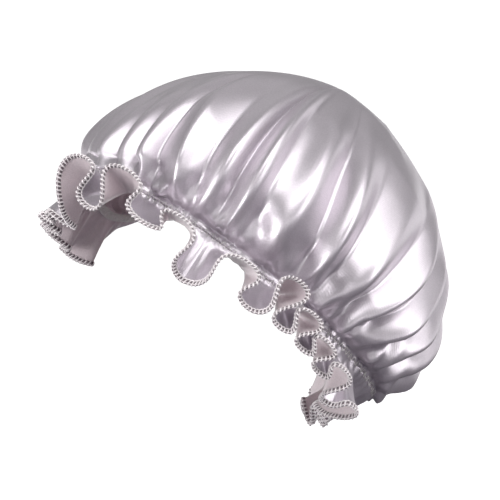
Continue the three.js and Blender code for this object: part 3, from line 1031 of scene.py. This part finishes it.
class BONNET_OT_elastic(bpy.types.Operator):
    """Builds the lapped elastic with its ribs"""

    bl_idname = "bonnet.elastic"
    bl_label = "Elastic"
    bl_options = {"REGISTER", "UNDO"}

    def execute(self, context):
        _, sewing, opening = worn(context)
        lap = sewing.elastic_lap / opening.girth
        start = NAPE - lap / 2
        end = NAPE + 1 + lap / 2
        lapped = end - lap - sewing.clearance / opening.girth
        turns = np.linspace(start, end, ELASTIC_STEPS + 1)
        layer = ease(lapped - sewing.elastic_step / opening.girth, lapped, turns)
        outer = -sewing.clearance - layer * (sewing.elastic_thickness + sewing.clearance)
        middle = outer - sewing.elastic_thickness / 2
        profile = elastic_profile(sewing)
        point, _, out, _ = opening.at(turns)
        lines = [point + out * (middle + bulge)[:, None] + UP * height for height, bulge in profile]
        rings = np.stack(lines, 1)
        count, sides = rings.shape[:2]
        faces = skin_faces(count, sides, False)
        corners = opening.row(rings.reshape(-1, 3))
        piece = make_piece("woven_elastic", corners, faces, [material_for("elastic")])
        walked = np.repeat((turns - start) * opening.girth, sides)
        heights = np.tile([height for height, _ in profile], count)
        lay_flat(piece, np.stack((walked, heights), -1))
        place_piece(piece, "elastic_band")
        return {"FINISHED"}


class BONNET_OT_stitches(bpy.types.Operator):
    """Sews the zigzag through the gathers and the elastic, and the tack on the elastic's lap"""

    bl_idname = "bonnet.stitches"
    bl_label = "Stitches"
    bl_options = {"REGISTER", "UNDO"}

    def execute(self, context):
        shape, sewing, opening = worn(context)
        lap = (sewing.elastic_lap / 2 + sewing.clearance + sewing.thread) / opening.girth
        step = sewing.elastic_step / opening.girth
        tacked = (sewing.elastic_lap / 2 - sewing.tack_pitch) / opening.girth
        layer = sewing.elastic_thickness + sewing.clearance
        under = sewing.clearance + sewing.thread / 2

        def over_gathers(turns):
            return pucker(shape, turns) + sewing.satin + sewing.thread * STITCH_LIFT

        def under_elastic(turns):
            return np.full(len(turns), -layer - under)

        def under_lap(turns):
            return np.full(len(turns), -2 * layer - under)

        zigzag_piece(
            "gather_zigzag", "gather_stitch", opening, sewing, (0, 1), sewing.stitch_pitch, over_gathers
        )
        zigzag_piece(
            "bobbin_zigzag", "bobbin_stitch", opening, sewing, (NAPE + lap, NAPE + 1 - lap - step),
            sewing.stitch_pitch, under_elastic,
        )
        zigzag_piece(
            "lap_tack", "elastic_tack", opening, sewing, (NAPE - tacked, NAPE + tacked),
            sewing.tack_pitch, under_lap,
        )
        return {"FINISHED"}


def studio_material(name, colours):
    """Matt white studio paper. To the camera and in reflections it is lit white from a distance. Near the bonnet
    most of its light is the lamps' own, so that the bonnet's soft shadow shows on it."""
    material, tree = start_material(name)
    path = add_node(tree, "ShaderNodeLightPath")
    place = add_node(tree, "ShaderNodeTexCoord")
    mottle = noise(tree, place, scale=3.0, detail=2.0)
    shade = two_tones(tree, mottle, colours, dark=0.99, light=1.01)
    paper = add_node(tree, "ShaderNodeBsdfDiffuse", {"Color": shade})
    level = add_node(
        tree, "ShaderNodeVectorMath", {0: place.outputs["Object"], 1: (1, 1, 0)}, operation="MULTIPLY"
    )
    away = add_node(tree, "ShaderNodeVectorMath", {0: level.outputs["Vector"]}, operation="LENGTH")
    strength = add_node(
        tree, "ShaderNodeMapRange",
        {
            "Value": away.outputs["Value"], "From Min": GLOW_FROM, "From Max": GLOW_TO,
            "To Min": GLOW_NEAR, "To Max": GLOW_FAR,
        },
        interpolation_type="SMOOTHSTEP",
    )
    glow = add_node(
        tree, "ShaderNodeEmission", {"Color": (1, 1, 1, 1), "Strength": strength.outputs["Result"]}
    )
    lit = add_node(tree, "ShaderNodeAddShader", {0: paper.outputs["BSDF"], 1: glow.outputs["Emission"]})
    seen = add_node(
        tree, "ShaderNodeMath",
        {0: path.outputs["Is Camera Ray"], 1: path.outputs["Is Glossy Ray"]}, operation="MAXIMUM",
    )
    either = add_node(
        tree, "ShaderNodeMixShader",
        {0: seen.outputs["Value"], 1: paper.outputs["BSDF"], 2: lit.outputs["Shader"]},
    )
    finish_material(tree, either.outputs["Shader"])
    return material


def card_material(name, colours):
    """Plain matt card."""
    material, tree = start_material(name)
    paper = add_node(tree, "ShaderNodeBsdfDiffuse", {"Color": tone(colours, 1.0)})
    finish_material(tree, paper.outputs["BSDF"])
    return material


def add_lamp(name, place, size, power):
    """A soft box that shines from its place on the bonnet."""
    lamp = bpy.data.lights.new(name, "AREA")
    lamp.shape = "RECTANGLE"
    lamp.size, lamp.size_y = size
    lamp.energy = power
    holder = bpy.data.objects.new(name, lamp)
    bpy.context.collection.objects.link(holder)
    holder.location = place
    holder.rotation_euler = (place - Vector(LAMP_AIM)).to_track_quat("Z", "Y").to_euler()


class BONNET_OT_stage(bpy.types.Operator):
    """Sets up the studio: floor and wall, soft lamps, world and camera"""

    bl_idname = "bonnet.stage"
    bl_label = "Stage"
    bl_options = {"REGISTER", "UNDO"}

    def execute(self, context):
        stage = context.scene.bonnet_stage
        self.add_camera(context, stage)
        self.add_studio(context, stage)
        self.add_light(context, stage)
        self.add_card(context, stage)
        context.scene.view_settings.view_transform = "Standard"
        return {"FINISHED"}

    def camera_axes(self, stage):
        """Right, up and towards the camera."""
        turned, raised = stage.camera_azimuth, stage.camera_elevation
        back = Vector((
            math.sin(turned) * math.cos(raised), -math.cos(turned) * math.cos(raised), math.sin(raised)
        ))
        right = Vector((math.cos(turned), math.sin(turned), 0))
        return right, back.cross(right), back

    def add_camera(self, context, stage):
        """The camera, level and aimed beside the middle of the opening."""
        right, up, back = self.camera_axes(stage)
        camera = bpy.data.objects.new("Camera", bpy.data.cameras.new("Camera"))
        context.collection.objects.link(camera)
        camera.data.lens = stage.lens
        camera.data.sensor_width = 36
        place = back * stage.camera_distance + right * stage.aim_right + up * stage.aim_up
        camera.matrix_world = Matrix.Translation(place) @ Matrix((right, up, back)).transposed().to_4x4()
        context.scene.camera = camera

    def add_studio(self, context, stage):
        """A round tray with no lid, seen from inside."""
        colours = context.scene.bonnet_colours
        bpy.ops.object.select_all(action="DESELECT")
        bpy.ops.mesh.primitive_cylinder_add(
            vertices=STUDIO_SIDES, radius=stage.floor_reach, depth=stage.wall_height, end_fill_type="NGON",
        )
        studio = context.active_object
        studio.name = "studio"
        tray = bmesh.new()
        tray.from_mesh(studio.data)
        lid = [face for face in tray.faces if face.normal.z > 0.5]
        bmesh.ops.delete(tray, geom=lid, context="FACES")
        bmesh.ops.reverse_faces(tray, faces=tray.faces[:])
        tray.to_mesh(studio.data)
        tray.free()
        studio.location.z = CAD_LOW[2] - stage.floor_drop + stage.wall_height / 2
        studio.data.materials.append(studio_material("Studio paper", colours.floor))
        studio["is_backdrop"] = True

    def add_light(self, context, stage):
        """Soft boxes round the bonnet, and an even dim world."""
        right, up, back = self.camera_axes(stage)
        for name, (nearer, rightward, upward), size, power in LAMPS:
            add_lamp(name, back * nearer + right * rightward + up * upward, size, power)
        world = bpy.data.worlds.new("Studio air")
        context.scene.world = world
        world.use_nodes = True
        world.node_tree.nodes.clear()
        air = add_node(
            world.node_tree, "ShaderNodeBackground", {"Color": (1, 1, 1, 1), "Strength": WORLD_STRENGTH}
        )
        add_node(world.node_tree, "ShaderNodeOutputWorld", {"Surface": air.outputs["Background"]})

    def add_card(self, context, stage):
        """A grey card under the bonnet, hidden from the camera, that the satin mirrors."""
        right, _, back = self.camera_axes(stage)
        nearer, rightward = CARD_PLACE
        place = back * nearer + right * rightward
        bpy.ops.object.select_all(action="DESELECT")
        bpy.ops.mesh.primitive_plane_add(size=1)
        card = context.active_object
        card.name = "dark_card"
        card.scale = (*CARD_SIZE, 1)
        card.rotation_euler = (0, 0, stage.camera_azimuth)
        card.location = (place.x, place.y, CAD_LOW[2] - CARD_DROP)
        card.visible_camera = False
        card.visible_shadow = False
        card.data.materials.append(card_material("Dark card", context.scene.bonnet_colours.card))
        card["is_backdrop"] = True


class BONNET_PT_tools(bpy.types.Panel):
    """Lists the steps that build the bonnet, in order"""

    bl_idname = "BONNET_PT_tools"
    bl_label = "Satin Hair Bonnet"
    bl_space_type = "VIEW_3D"
    bl_region_type = "UI"
    bl_category = "Bonnet"

    def draw(self, context):
        for step in STEPS:
            self.layout.operator(step.bl_idname)


STEPS = (
    BONNET_OT_crown, BONNET_OT_frill, BONNET_OT_overlock, BONNET_OT_elastic, BONNET_OT_stitches,
    BONNET_OT_stage,
)
GROUPS = {
    "bonnet_shape": BonnetShape,
    "bonnet_sewing": BonnetSewing,
    "bonnet_colours": BonnetColours,
    "bonnet_stage": BonnetStage,
}


def register():
    for kind in (*GROUPS.values(), *STEPS, BONNET_PT_tools):
        bpy.utils.register_class(kind)
    for name, kind in GROUPS.items():
        setattr(bpy.types.Scene, name, PointerProperty(type=kind))


def unregister():
    for name in GROUPS:
        delattr(bpy.types.Scene, name)
    for kind in reversed((*GROUPS.values(), *STEPS, BONNET_PT_tools)):
        bpy.utils.unregister_class(kind)


def main():
    register()
    bpy.ops.bonnet.crown()
    bpy.ops.bonnet.frill()
    bpy.ops.bonnet.overlock()
    bpy.ops.bonnet.elastic()
    bpy.ops.bonnet.stitches()
    bpy.ops.bonnet.stage()


if __name__ == "__main__":
    main()
